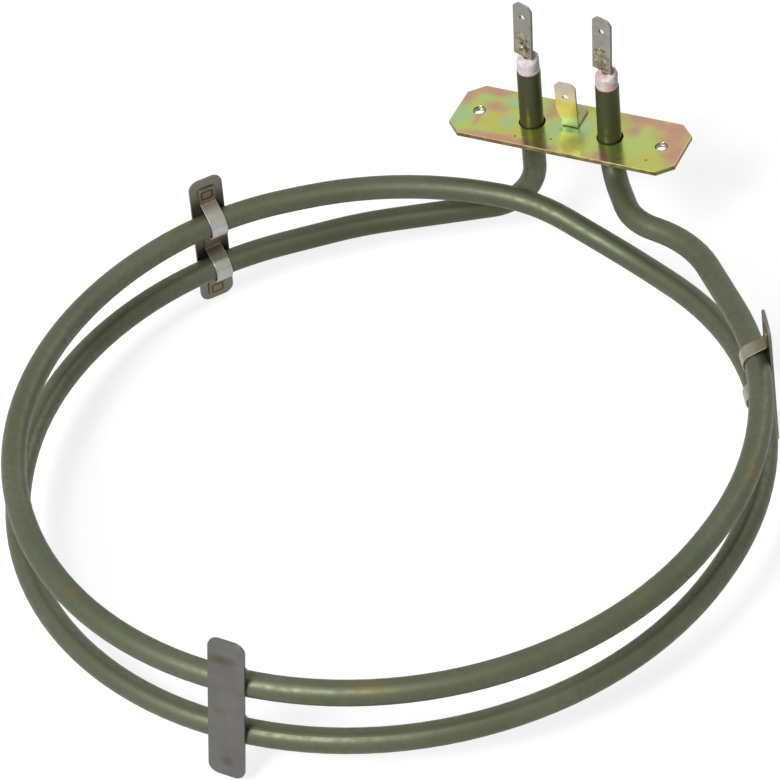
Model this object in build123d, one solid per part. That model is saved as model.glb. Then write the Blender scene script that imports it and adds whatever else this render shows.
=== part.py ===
"""Two-turn tubular heating element for the fan of an oven, with its mounting plate and coil clips.

Millimetres, +Z up. The origin is the centre of the mounting plate's seat face. +X runs along the
plate, +Z points out through the appliance's wall along the terminals, and the coil hangs below the
plate, towards -Y. Bearings are degrees about the coil's centre, counted from +X towards +Y.
"""

from build123d import *
import math
import os

# Sheath and what is drawn down inside it
SHEATH_R = 3.4
SHEATH_WALL = 0.5
PIN_R = 1.15
CORE_GAP = 0.02

# Coil: the upper turn is level, the lower one is sprung open and hangs slightly out of level
COIL_X, COIL_Y = -8.0, -116.4
UPPER_R, UPPER_Z = 100.0, -11.6
LOWER_R, LOWER_Z = 101.2, -27.8
LOWER_SHIFT = (-0.4, -0.15)
LOWER_SLOPE, LOWER_SLOPE_BEARING = 0.0126, 29.0
LOWER_FROM, LOWER_TO = 198.2, 352.4
UPPER_FROM, UPPER_TO = 154.0, 351.0

# Legs, which stand through the mounting plate: where each one's axis crosses its seat face
LEFT_LEG = (-11.5, -0.3)
RIGHT_LEG = (12.3, -0.3)
LEG_LEAN = 1.5
SHEATH_TOP = 18.5
LEFT_BEND_R, RIGHT_BEND_R = 13.2, 10.0

# Mounting plate
PLATE_L, PLATE_W, PLATE_T = 69.0, 22.0, 1.5
PLATE_CORNER = 4.2
PLATE_EDGE_R = 0.3
LEG_HOLE_R, LEG_HOLE_SHIFT = 3.85, 0.1
SCREW_PITCH, SCREW_HOLE_R, SCREW_HOLE_RIM = 55.7, 1.65, 0.25
WELD_R, WELD_H = 4.9, 1.3

# Earth tab: an upright blade on a welded foot
TAB_T, TAB_W, TAB_NECK_W = 0.8, 6.3, 4.7
TAB_H, TAB_TAPER_H, TAB_NECK_H, TAB_SINK = 15.5, 3.4, 2.2, 0.1
TAB_FRONT_Y, TAB_FOOT_L, TAB_BEND_R = 0.5, 8.4, 0.6
TAB_HOLE_DROP = 4.9
TAB_DIMPLE_R, TAB_TOE_R = 0.7, 0.8

# Terminals
BLADE_T, BLADE_W, BLADE_L = 0.8, 6.3, 18.4
BLADE_CORNER, BLADE_CORNER_R = 1.3, 0.7
BLADE_HOLE_R, BLADE_HOLE_DROP = 0.9, 4.5
BLADE_YAW = {"left": -16.0, "right": -15.5}
BLADE_LIFT = {"left": 0.8, "right": 1.1}
BLADE_SHIFT = -0.6
BLADE_LEAN = 2.3
BLADE_SEAT = 0.55
PIN_OVERLAP = 9.0
BUSH_HEAD_R, BUSH_HEAD_H = 3.3, 4.8
BUSH_SPIGOT_R, BUSH_SPIGOT_H = 2.85, 3.0
BUSH_EDGE_R = 0.9
SEAL_T = 0.3

# Coil clips: a flat plate outside the coil and a strap humped over both turns
CLIP_L, CLIP_W, CLIP_T, CLIP_CORNER_R, CLIP_PLAY = 47.6, 10.2, 0.7, 3.0, 0.05
STRAP_T, STRAP_W, STRAP_REACH_UP, STRAP_REACH_DOWN = 0.5, 4.9, 20.0, 21.8
STRAP_ROOT_R, STRAP_PLAY = 0.8, 0.1
STRAP_DENT = (3.4, 3.0, 0.15)
# name: bearing, slide up from mid-coil, lean in its own plane
CLIPS = {
    "rear": (142.7, -0.8, 0.0),
    "front": (271.0, 1.8, 5.4),
    "side": (33.0, -2.0, -8.0),
}


# ---------------------------------------------------------------------------- centre line

def at_bearing(bearing, radius, z):
    """Point at a bearing and radius about the coil's centre."""
    angle = math.radians(bearing)
    return Vector(COIL_X + radius * math.cos(angle), COIL_Y + radius * math.sin(angle), z)


def leg_point(leg, z):
    """Point on a leg's axis at a height: the legs lean a little along the plate."""
    return Vector(leg[0] + z * math.tan(math.radians(LEG_LEAN)), leg[1], z)


def leg_frame(leg, height=0.0, yaw=0.0):
    """Place across a leg at a distance along its axis from the seat face, turned about the axis."""
    axis = (leg_point(leg, 1.0) - leg_point(leg, 0.0)).normalized()
    across = axis.cross(Vector(0, -1, 0))
    return Plane(origin=leg_point(leg, 0.0) + axis * height, x_dir=across, z_dir=axis) * Rot(0, 0, yaw)


def bent_run(points, radii):
    """Straight runs through the points, with an arc of its own radius tangent at each corner."""
    edges, here = [], points[0]
    for before, corner, after, radius in zip(points, points[1:], points[2:], radii):
        arriving, leaving = (corner - before).normalized(), (after - corner).normalized()
        half_turn = math.radians(arriving.get_angle(leaving)) / 2
        reach = radius * math.tan(half_turn)
        start, end = corner - arriving * reach, corner + leaving * reach
        inward = (leaving - arriving).normalized()
        middle = corner + inward * (radius / math.cos(half_turn) - radius)
        edges += [Edge.make_line(here, start), Edge.make_three_point_arc(start, middle, end)]
        here = end
    return edges + [Edge.make_line(here, points[-1])]


def turn(origin, slope, slope_bearing, radius, start, end):
    """One turn as three arcs in a plane that rises by a slope towards a bearing."""
    rise_x = slope * math.cos(math.radians(slope_bearing))
    rise_y = slope * math.sin(math.radians(slope_bearing))
    plane = Plane(origin=origin, x_dir=(1, 0, rise_x), z_dir=(-rise_x, -rise_y, 1))
    step = (end - start) / 3
    return [Edge.make_circle(radius, plane, start + i * step, start + (i + 1) * step)
            for i in range(3)]


def centre_line():
    """Edges of the tube's centre line from the left leg's top, round both turns, to the right's."""
    lower = turn((COIL_X + LOWER_SHIFT[0], COIL_Y + LOWER_SHIFT[1], LOWER_Z),
                 LOWER_SLOPE, LOWER_SLOPE_BEARING, LOWER_R, LOWER_FROM, LOWER_TO)
    upper = turn((COIL_X, COIL_Y, UPPER_Z), 0, 0, UPPER_R, UPPER_FROM, UPPER_TO)
    left_leg = bent_run(
        [leg_frame(LEFT_LEG, SHEATH_TOP).position,
         leg_point(LEFT_LEG, LOWER_Z - 1.5),
         at_bearing(118.2, 102.9, LOWER_Z - 1.3),
         (lower[0] @ 0) - (lower[0] % 0) * 69.1,
         lower[0] @ 0],
        [LEFT_BEND_R, 107.0, 97.4])
    crossover = bent_run(
        [lower[-1] @ 1,
         (lower[-1] @ 1) + (lower[-1] % 1) * 43.2,
         at_bearing(50.3, 106.1, LOWER_Z + 0.2),
         at_bearing(71.0, 102.3, LOWER_Z + 1.5),
         at_bearing(89.0, 102.9, LOWER_Z + 9.8),
         at_bearing(111.0, 102.7, LOWER_Z + 15.0),
         (upper[0] @ 0) - (upper[0] % 0) * 21.8,
         upper[0] @ 0],
        [103.5, 83.0, 62.0, 54.0, 118.0, 87.0])
    right_leg = bent_run(
        [upper[-1] @ 1,
         (upper[-1] @ 1) + (upper[-1] % 1) * 51.3,
         at_bearing(60.2, 107.4, UPPER_Z),
         at_bearing(70.5, 102.1, UPPER_Z),
         leg_point(RIGHT_LEG, UPPER_Z),
         leg_frame(RIGHT_LEG, SHEATH_TOP).position],
        [100.5, 33.6, 17.3, RIGHT_BEND_R])
    return left_leg + lower + crossover + upper + right_leg


def swept(radius, edges, bore=0.0):
    """Round bar, or tube with a bore, along the edges."""
    start = edges[0]
    section = Plane(origin=start @ 0, z_dir=start % 0) * Circle(radius)
    if bore:
        section -= Plane(origin=start @ 0, z_dir=start % 0) * Circle(bore)
    return sweep(section, path=Wire(edges))


def trimmed(edges, level):
    """The same edges with both leg tops moved to another distance above the seat face."""
    head = Edge.make_line(leg_frame(LEFT_LEG, level).position, edges[0] @ 1)
    tail = Edge.make_line(edges[-1] @ 0, leg_frame(RIGHT_LEG, level).position)
    return [head] + edges[1:-1] + [tail]


# ---------------------------------------------------------------------------- sheath and inside

def sheath_tube(edges):
    """The drawn metal sheath: one tube, bent to the whole route."""
    return swept(SHEATH_R, edges, SHEATH_R - SHEATH_WALL)


def magnesia_fill(edges):
    """Compacted magnesia that fills the sheath round the wire, up to the bushes' spigots."""
    route = trimmed(edges, SHEATH_TOP - BUSH_SPIGOT_H)
    return swept(SHEATH_R - SHEATH_WALL - CORE_GAP, route, PIN_R + CORE_GAP)


def cold_pin(leg, leg_edges, seat_z):
    """Terminal pin: follows its leg down and round the bend, and is pressed flat behind the blade."""
    top = leg_frame(leg, seat_z + PIN_OVERLAP).position
    pin = swept(PIN_R, [Edge.make_line(top, leg_edges[0] @ 1)] + leg_edges[1:])
    return pin


def pin_flat(leg, yaw, seat_z):
    """What the press takes off a pin's front, where the blade lies on it."""
    flat = Box(4 * PIN_R, 2 * PIN_R, 2 * PIN_OVERLAP, align=(Align.CENTER, Align.MAX, Align.MIN))
    return leg_frame(leg, seat_z, yaw) * Pos(0, -BLADE_SEAT, 0) * flat


def end_bush(leg):
    """Ceramic bead: a spigot down the sheath's mouth and a rounded head above it, bored for the pin."""
    standing = (Align.CENTER, Align.CENTER, Align.MIN)
    head = Pos(0, 0, SEAL_T) * Cylinder(BUSH_HEAD_R, BUSH_HEAD_H, align=standing)
    head = fillet(head.edges().group_by(Axis.Z)[-1], BUSH_EDGE_R)
    spigot = Pos(0, 0, -BUSH_SPIGOT_H) * Cylinder(
        BUSH_SPIGOT_R, BUSH_SPIGOT_H + SEAL_T, align=standing)
    bead = head + spigot - Cylinder(PIN_R + CORE_GAP, 4 * BUSH_HEAD_H)
    return leg_frame(leg, SHEATH_TOP) * bead


def end_seal(leg):
    """Ring of sealing varnish between the sheath's end and the bush's head."""
    ring = Circle(SHEATH_R - 0.05) - Circle(BUSH_SPIGOT_R + CORE_GAP)
    return leg_frame(leg, SHEATH_TOP) * extrude(ring, SEAL_T)


# ---------------------------------------------------------------------------- terminals

def blade_outline(width, length):
    """Blade standing on its bottom edge, with both top corners cut off and eased."""
    outline = Pos(0, length / 2) * Rectangle(width, length)
    top = outline.vertices().group_by(Axis.Y)[-1]
    outline = chamfer(top, BLADE_CORNER)
    return fillet(outline.vertices().group_by(Axis.Y)[-1], BLADE_CORNER_R)


def terminal_blade(leg, yaw, bottom_z):
    """Push-on blade, welded to the flat of its pin and leaning a little in its own plane."""
    sketch = blade_outline(BLADE_W, BLADE_L)
    sketch -= Pos(0, BLADE_L - BLADE_HOLE_DROP) * Circle(BLADE_HOLE_R)
    blade = extrude(Rot(0, 0, -BLADE_LEAN) * sketch, BLADE_T)
    return leg_frame(leg, bottom_z, yaw) * Pos(BLADE_SHIFT, -BLADE_SEAT, 0) * Rot(90, 0, 0) * blade


def earth_tab():
    """Earth blade folded from one strip: a tapered upright and a foot, dimpled by its spot weld."""
    side = TAB_NECK_W / 2
    middle = side - TAB_W / 2
    upright = Pos(middle, 0) * blade_outline(TAB_W, TAB_H)
    upright -= make_face(Polyline(
        (-side, 0), (-side, TAB_NECK_H), (side - TAB_W, TAB_NECK_H + TAB_TAPER_H),
        (-2 * TAB_W, TAB_NECK_H + TAB_TAPER_H), (-2 * TAB_W, 0), close=True))
    upright -= Pos(middle, TAB_H - TAB_HOLE_DROP) * Circle(BLADE_HOLE_R)
    blade = Rot(90, 0, 0) * extrude(upright, TAB_T / 2, both=True)
    foot = Pos(0, -TAB_T / 2, 0) * Box(
        TAB_NECK_W, TAB_FOOT_L, TAB_T, align=(Align.CENTER, Align.MIN, Align.MIN))
    folded = blade + foot
    heel = folded.edges().filter_by(Axis.X).sort_by(lambda edge: (edge @ 0.5).Y + (edge @ 0.5).Z)[0]
    folded = fillet(heel, TAB_BEND_R)
    toe = folded.edges().filter_by(Axis.Z).group_by(Axis.Y)[-1]
    folded = fillet(toe, TAB_TOE_R)
    folded -= Pos(0, TAB_FOOT_L * 0.62, TAB_T + TAB_DIMPLE_R * 0.6) * Sphere(TAB_DIMPLE_R)
    return Pos(0, TAB_FRONT_Y + TAB_T / 2, -TAB_SINK) * folded


# ---------------------------------------------------------------------------- mounting plate

def mounting_plate():
    """Stamped plate: cut corners, tapped holes, legs' holes, and the print of the tab's welded foot."""
    outline = chamfer(Rectangle(PLATE_L, PLATE_W).vertices(), PLATE_CORNER)
    plate = extrude(outline, -PLATE_T)
    plate = fillet(plate.edges().filter_by(Plane.XY), PLATE_EDGE_R)
    for x in (-SCREW_PITCH / 2, SCREW_PITCH / 2):
        plate -= Pos(x, 0, 0) * Cylinder(SCREW_HOLE_R, 3 * PLATE_T)
        plate -= Pos(x, 0, -SCREW_HOLE_RIM / 2) * Cone(
            SCREW_HOLE_R, SCREW_HOLE_R + SCREW_HOLE_RIM, SCREW_HOLE_RIM)
    for x, y in (LEFT_LEG, RIGHT_LEG):
        plate -= Pos(x + LEG_HOLE_SHIFT, y, 0) * Cylinder(LEG_HOLE_R, 3 * PLATE_T)
    foot = fillet(Rectangle(TAB_NECK_W, TAB_FOOT_L).vertices().group_by(Axis.Y)[-1], TAB_TOE_R)
    plate -= Pos(0, TAB_FRONT_Y + TAB_FOOT_L / 2, -TAB_SINK) * extrude(foot, 2 * TAB_SINK)
    return plate


def leg_weld(leg, sheath_bar):
    """Brazed fillet that holds a leg in the plate from below."""
    section = make_face(Polyline((0, 0), (WELD_R, 0), (WELD_R * 0.84, -WELD_H * 0.55),
                                 (SHEATH_R + 0.1, -WELD_H), (0, -WELD_H), close=True))
    ring = revolve(Plane.XZ * section, Axis.Z)
    return Pos(*leg, -PLATE_T) * ring - sheath_bar


# ---------------------------------------------------------------------------- clips

def tube_crossings(edges, bearing):
    """Point and direction where each turn passes a bearing from the coil's centre, lowest first."""
    direction = math.radians(bearing)
    across = Vector(-math.sin(direction), math.cos(direction), 0)
    along = Vector(math.cos(direction), math.sin(direction), 0)
    hub = Vector(COIL_X, COIL_Y, 0)
    found = []
    for edge in edges:
        low, high = 0.0, 1.0
        if ((edge @ low) - hub).dot(across) * ((edge @ high) - hub).dot(across) > 0:
            continue
        if ((edge @ low) - hub).dot(along) < 0:
            continue
        rising = ((edge @ high) - hub).dot(across) > 0
        for _ in range(40):
            middle = (low + high) / 2
            if (((edge @ middle) - hub).dot(across) > 0) == rising:
                high = middle
            else:
                low = middle
        found.append((edge @ low, edge % low))
    return sorted(found, key=lambda crossing: crossing[0].Z)


def clip_frame(edges, bearing):
    """Plane of a clip, X round the coil, Y up and Z outwards, and how far apart it holds the turns.

    The plane lies on both tubes' outer sides, and X is the mean of their directions.
    """
    (lower, lower_way), (upper, upper_way) = tube_crossings(edges, bearing)
    up = (upper - lower).normalized()
    outward = (lower_way + upper_way).cross(up).normalized()
    middle = (lower + upper) * 0.5 + outward * (SHEATH_R + CLIP_PLAY)
    return Plane(origin=middle, x_dir=up.cross(outward), z_dir=outward), (upper - lower).length


def clip_plate(frame, slide, lean):
    """Flat stamped plate with round corners, on the outside of the coil."""
    outline = fillet(Rectangle(CLIP_W, CLIP_L).vertices(), CLIP_CORNER_R)
    return extrude(frame * Rot(0, 0, -lean) * Pos(0, slide) * outline, CLIP_T)


def strap_contour(level, pitch, reach_up, reach_down):
    """One side of the strap in section, from the upper foot's end to the lower one's.

    X is the distance in from the clip's plate and Y runs up it. Level is 0 on the plate's side of the
    strip and its thickness on the other. Each hump is an arc about a tube, and each foot runs into
    it through a fillet.
    """
    hump_r = SHEATH_R + STRAP_PLAY + level
    root_r = STRAP_T + STRAP_ROOT_R - level
    root_x = STRAP_T + STRAP_ROOT_R
    tube_x = SHEATH_R + CLIP_PLAY
    root_dy = math.sqrt((hump_r + root_r) ** 2 - (tube_x - root_x) ** 2)
    edges, here = [], Vector(level, reach_up)
    for tube_y in (pitch / 2, -pitch / 2):
        tube = Vector(tube_x, tube_y)
        roots = [Vector(root_x, tube_y + side * root_dy) for side in (1, -1)]
        joins = [root + (tube - root).normalized() * root_r for root in roots]
        feet = [Vector(level, root.Y) for root in roots]
        mids = [root + ((foot - root).normalized() + (join - root).normalized()).normalized() * root_r
                for root, foot, join in zip(roots, feet, joins)]
        edges += [Edge.make_line(here, feet[0]),
                  Edge.make_three_point_arc(feet[0], mids[0], joins[0]),
                  Edge.make_three_point_arc(joins[0], tube + Vector(hump_r, 0), joins[1]),
                  Edge.make_three_point_arc(joins[1], mids[1], feet[1])]
        here = feet[1]
    return edges + [Edge.make_line(here, Vector(level, -reach_down))]


def clip_strap(frame, pitch, slide, lean):
    """Spring strap humped over both turns, its three flat feet spot-welded to the clip's plate."""
    reach_up, reach_down = STRAP_REACH_UP + slide, STRAP_REACH_DOWN - slide
    outer = strap_contour(0, pitch, reach_up, reach_down)
    inner = strap_contour(STRAP_T, pitch, reach_up, reach_down)
    ends = [Edge.make_line(outer[0] @ 0, inner[0] @ 0), Edge.make_line(outer[-1] @ 1, inner[-1] @ 1)]
    section = Face(Wire(outer + inner + ends))
    profile_plane = Plane(origin=frame.origin, x_dir=-frame.z_dir, z_dir=frame.x_dir)
    wide = extrude(profile_plane * section, CLIP_W, both=True)
    strip = frame * Rot(0, 0, -lean) * Box(STRAP_W, 2 * CLIP_L, 8 * SHEATH_R)
    strap = wide & strip
    dent_w, dent_h, depth = STRAP_DENT
    for y in (reach_up - dent_h * 0.75, -reach_down + dent_h * 0.75):
        strap -= frame * Rot(0, 0, -lean) * Pos(0, y, -STRAP_T) * Box(dent_w, dent_h, 2 * depth)
    return strap


# ---------------------------------------------------------------------------- assembly

def build():
    """Every piece under its own name."""
    edges = centre_line()
    sheath_bar = swept(SHEATH_R, edges)
    seat_z = SHEATH_TOP + SEAL_T + BUSH_HEAD_H
    right_edges = [edges[-1].reversed(), edges[-2].reversed()]
    pieces = {
        "sheath_tube": sheath_tube(edges),
        "magnesia_fill": magnesia_fill(edges),
        "resistance_coil": swept(PIN_R, edges[2:-2]),
        "mounting_plate": mounting_plate(),
        "earth_tab": earth_tab(),
    }
    for side, leg, leg_edges in (("left", LEFT_LEG, edges[:2]), ("right", RIGHT_LEG, right_edges)):
        yaw = BLADE_YAW[side]
        pin = cold_pin(leg, leg_edges, seat_z) - pin_flat(leg, yaw, seat_z)
        pieces[f"terminal_pin_{side}"] = pin
        pieces[f"end_bush_{side}"] = end_bush(leg)
        pieces[f"end_seal_{side}"] = end_seal(leg)
        pieces[f"terminal_blade_{side}"] = terminal_blade(leg, yaw, seat_z + BLADE_LIFT[side])
        pieces[f"leg_weld_{side}"] = leg_weld(leg, sheath_bar)
    for name, (bearing, slide, lean) in CLIPS.items():
        frame, pitch = clip_frame(edges, bearing)
        pieces[f"clip_plate_{name}"] = clip_plate(frame, slide, lean)
        pieces[f"clip_strap_{name}"] = clip_strap(frame, pitch, slide, lean)
    return pieces


def main():
    """Write each piece as a STEP file under its name."""
    os.makedirs("parts", exist_ok=True)
    for name, piece in build().items():
        piece.label = name
        export_step(piece, f"parts/{name}.step")


main()
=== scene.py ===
"""Dress the two-turn tubular heating element and stand it in a plain studio.

The solids keep their shapes. This script gives each one its finish, adds the tapped threads and
the weld scale on the terminals, puts rough ceramic beads and pressed straps in place of the plain
ones, and sets the floor, the lamps and the camera. Sizes in the classes are millimetres in the
part's own frame: the mounting plate's seat face is at z = 0 and the terminals point to +Z. Meshes
are written in metres.
"""

import logging
import math
from dataclasses import dataclass
from enum import Enum

import bpy
import numpy as np
from mathutils import Matrix, Vector

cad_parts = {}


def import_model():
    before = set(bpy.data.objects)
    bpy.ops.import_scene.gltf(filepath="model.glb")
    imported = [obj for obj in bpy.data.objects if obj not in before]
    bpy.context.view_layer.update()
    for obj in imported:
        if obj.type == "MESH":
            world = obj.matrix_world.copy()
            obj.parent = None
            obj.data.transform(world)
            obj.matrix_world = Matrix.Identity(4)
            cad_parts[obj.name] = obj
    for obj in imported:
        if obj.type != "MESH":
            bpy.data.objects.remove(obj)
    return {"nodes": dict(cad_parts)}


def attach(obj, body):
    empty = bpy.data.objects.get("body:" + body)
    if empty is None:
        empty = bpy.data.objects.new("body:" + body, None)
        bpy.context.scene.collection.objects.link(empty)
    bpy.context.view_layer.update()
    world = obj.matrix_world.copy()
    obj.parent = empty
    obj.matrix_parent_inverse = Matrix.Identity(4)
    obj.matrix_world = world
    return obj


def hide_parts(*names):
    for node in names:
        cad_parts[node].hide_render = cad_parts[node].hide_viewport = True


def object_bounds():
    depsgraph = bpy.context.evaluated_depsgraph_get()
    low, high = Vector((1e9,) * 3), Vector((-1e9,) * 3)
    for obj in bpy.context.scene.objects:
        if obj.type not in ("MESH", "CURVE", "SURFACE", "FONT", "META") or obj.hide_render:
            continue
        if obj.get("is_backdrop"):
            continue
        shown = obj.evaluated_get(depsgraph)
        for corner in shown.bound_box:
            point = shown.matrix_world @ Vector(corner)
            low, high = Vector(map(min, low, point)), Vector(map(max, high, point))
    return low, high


LOG = logging.getLogger("heating_element")
MM = 0.001
Triple = tuple[float, float, float]
Array = np.ndarray
Socket = bpy.types.NodeSocket
Material = bpy.types.Material
Piece = bpy.types.Object


# --------------------------------------------------------------------------- shader nodes

class Effect(Enum):
    """Shared surface effects, by the name of their node group."""

    CLOUDS = "cloudy_patches"
    STAIN = "stain_at_a_place"
    HAIRLINES = "hairline_scratches"
    PITS = "small_pits"


class NodeBench:
    """Lays and wires shader nodes in one tree."""

    def __init__(self, tree: bpy.types.NodeTree) -> None:
        """Start on a tree, with nothing laid yet."""
        self.tree = tree
        self.laid = 0

    def add(self, kind: str, inputs: dict | None = None, **settings: object) -> bpy.types.Node:
        """Lay a node, set its properties, and fill or wire its inputs.

        Args:
            kind: The node's identifier.
            inputs: A value or an output socket for each input, by name or index.
            settings: Properties of the node.

        Returns:
            The node.
        """
        node = self.tree.nodes.new(kind)
        node.location = (200 * (self.laid % 10), -300 * (self.laid // 10))
        self.laid += 1
        for name, value in settings.items():
            setattr(node, name, value)
        for key, value in (inputs or {}).items():
            self.feed(node.inputs[key], value)
        return node

    def feed(self, socket: Socket, value: object) -> None:
        """Wire an output socket into an input, or set the input's own value."""
        if isinstance(value, Socket):
            self.tree.links.new(value, socket)
        else:
            socket.default_value = value

    def sum_up(self, operation: str, a: object, b: object = 0.0) -> Socket:
        """Lay a Math node on two values and return its output."""
        return self.add("ShaderNodeMath", {0: a, 1: b}, operation=operation).outputs[0]

    def times(self, a: object, b: object) -> Socket:
        """Multiply two values."""
        return self.sum_up("MULTIPLY", a, b)

    def vector(self, operation: str, a: object, b: object = (0.0, 0.0, 0.0)) -> Socket:
        """Lay a Vector Math node; a length or a dot product comes out as a value."""
        node = self.add("ShaderNodeVectorMath", {0: a, 1: b}, operation=operation)
        return node.outputs["Value" if operation in ("LENGTH", "DOT_PRODUCT") else "Vector"]

    def axis(self, place: Socket, name: str) -> Socket:
        """Pick one coordinate of a place."""
        return self.add("ShaderNodeSeparateXYZ", {0: place}).outputs[name]

    def noise(self, place: Socket, scale: object, detail: float, **more: float) -> Socket:
        """Lay a noise; its node's further inputs go by name."""
        inputs = {"Vector": place, "Scale": scale, "Detail": detail, **more}
        return self.add("ShaderNodeTexNoise", inputs).outputs[0]

    def ramp(self, value: object, low: object, high: object, top: float = 1.0,
             smooth: bool = True) -> Socket:
        """Turn a value that runs from low to high into one that runs from 0 to a top."""
        return self.add("ShaderNodeMapRange",
                        {"Value": value, "From Min": low, "From Max": high, "To Max": top},
                        interpolation_type="SMOOTHSTEP" if smooth else "LINEAR").outputs[0]

    def level(self, mask: object, low: float, high: float) -> Socket:
        """Run a mask from one value to another."""
        inputs = {"Value": mask, "To Min": low, "To Max": high}
        return self.add("ShaderNodeMapRange", inputs).outputs[0]

    def tint(self, mask: object, under: object, over: object, share: object = 1.0) -> Socket:
        """Mix two colours by a mask.

        Args:
            mask: 0 shows the under colour and 1 the over colour.
            under: Colour or socket.
            over: Colour or socket.
            share: How much of the over colour shows at most.

        Returns:
            The mixed colour's socket.
        """
        if share != 1.0:
            mask = self.times(mask, share)
        inputs = {0: mask, 6: rgba(under), 7: rgba(over)}
        return self.add("ShaderNodeMix", inputs, data_type="RGBA").outputs[2]


def rgba(colour: object) -> object:
    """Give a plain colour its alpha, and leave a socket as it is."""
    return (*colour, 1.0) if isinstance(colour, tuple) else colour


class EffectShelf:
    """The shared effects, each built once as a node group with a single Mask output."""

    INPUTS = {
        Effect.CLOUDS: ("Vector", "Scale", "Low", "High"),
        Effect.STAIN: ("Vector", "Centre", "Reach", "Ragged", "Grain"),
        Effect.HAIRLINES: ("Vector", "Scale", "Width", "Cover"),
        Effect.PITS: ("Vector", "Scale", "Size", "Share"),
    }
    VECTORS = ("Vector", "Centre", "Reach")

    def __init__(self) -> None:
        """Start with an empty shelf."""
        self.made: dict[Effect, bpy.types.NodeTree] = {}

    def mask(self, bench: NodeBench, effect: Effect, **inputs: object) -> Socket:
        """Place an effect in a material.

        Args:
            bench: The material's bench.
            effect: Which effect.
            inputs: Values or sockets by input name.

        Returns:
            The effect's mask, from 0 to 1.
        """
        if effect not in self.made:
            self.made[effect] = self._build(effect)
        node = bench.add("ShaderNodeGroup", inputs, node_tree=self.made[effect])
        return node.outputs["Mask"]

    def _build(self, effect: Effect) -> bpy.types.NodeTree:
        """Make an effect's node group with its sockets."""
        tree = bpy.data.node_groups.new(effect.value, "ShaderNodeTree")
        for name in self.INPUTS[effect]:
            kind = "NodeSocketVector" if name in self.VECTORS else "NodeSocketFloat"
            tree.interface.new_socket(name=name, in_out="INPUT", socket_type=kind)
        tree.interface.new_socket(name="Mask", in_out="OUTPUT", socket_type="NodeSocketFloat")
        bench = NodeBench(tree)
        given = bench.add("NodeGroupInput").outputs
        makers = {Effect.CLOUDS: self._clouds, Effect.STAIN: self._stain,
                  Effect.HAIRLINES: self._hairlines, Effect.PITS: self._pits}
        bench.add("NodeGroupOutput", {"Mask": makers[effect](bench, given)})
        return tree

    @staticmethod
    def _clouds(bench: NodeBench, given: dict[str, Socket]) -> Socket:
        """Noise eased between two levels: soft patches."""
        noise = bench.noise(given["Vector"], given["Scale"], 4.0, Roughness=0.55)
        return bench.ramp(noise, given["Low"], given["High"])

    @staticmethod
    def _stain(bench: NodeBench, given: dict[str, Socket]) -> Socket:
        """Full at a place, gone at 1.3 times its reach, with a ragged edge between."""
        away = bench.vector("SUBTRACT", given["Vector"], given["Centre"])
        distance = bench.vector("LENGTH", bench.vector("DIVIDE", away, given["Reach"]))
        noise = bench.noise(given["Vector"], given["Grain"], 3.0)
        wobble = bench.times(bench.sum_up("SUBTRACT", noise, 0.5), given["Ragged"])
        gone, full = 1.30, 0.10
        return bench.ramp(bench.sum_up("ADD", distance, wobble), gone, full)

    @staticmethod
    def _hairlines(bench: NodeBench, given: dict[str, Socket]) -> Socket:
        """Thin lines where a stretched noise crosses its middle, broken up by a second noise."""
        stretched = bench.vector("MULTIPLY", given["Vector"], (0.35, 1.0, 1.6))
        noise = bench.noise(stretched, given["Scale"], 2.0, Distortion=0.6)
        off = bench.sum_up("ABSOLUTE", bench.sum_up("SUBTRACT", noise, 0.5))
        line = bench.ramp(off, given["Width"], 0.0)
        breaks = bench.noise(given["Vector"], 0.21, 3.0)
        here = bench.ramp(breaks, bench.sum_up("SUBTRACT", 1.0, given["Cover"]), 1.0)
        return bench.times(line, here)

    @staticmethod
    def _pits(bench: NodeBench, given: dict[str, Socket]) -> Socket:
        """Round dots in a share of the cells of a Voronoi pattern, of unequal sizes."""
        inputs = {"Vector": given["Vector"], "Scale": given["Scale"]}
        cells = bench.add("ShaderNodeTexVoronoi", inputs).outputs
        chance = bench.add("ShaderNodeSeparateColor", {0: cells["Color"]}).outputs[0]
        size = bench.times(given["Size"], bench.sum_up("ADD", chance, 0.4))
        dot = bench.ramp(cells["Distance"], size, bench.times(size, 0.4))
        return bench.times(dot, bench.sum_up("LESS_THAN", chance, given["Share"]))


SHELF = EffectShelf()


@dataclass(frozen=True)
class Stain:
    """A patch of colour at a place on the part."""

    centre: Triple
    reach: Triple
    colour: Triple
    strength: float
    ragged: float = 0.9
    grain: float = 0.6


def blank_material(name: str) -> Material:
    """Make a material with nothing in its tree."""
    material = bpy.data.materials.new(name)
    material.use_nodes = True
    material.node_tree.nodes.clear()
    return material


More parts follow.
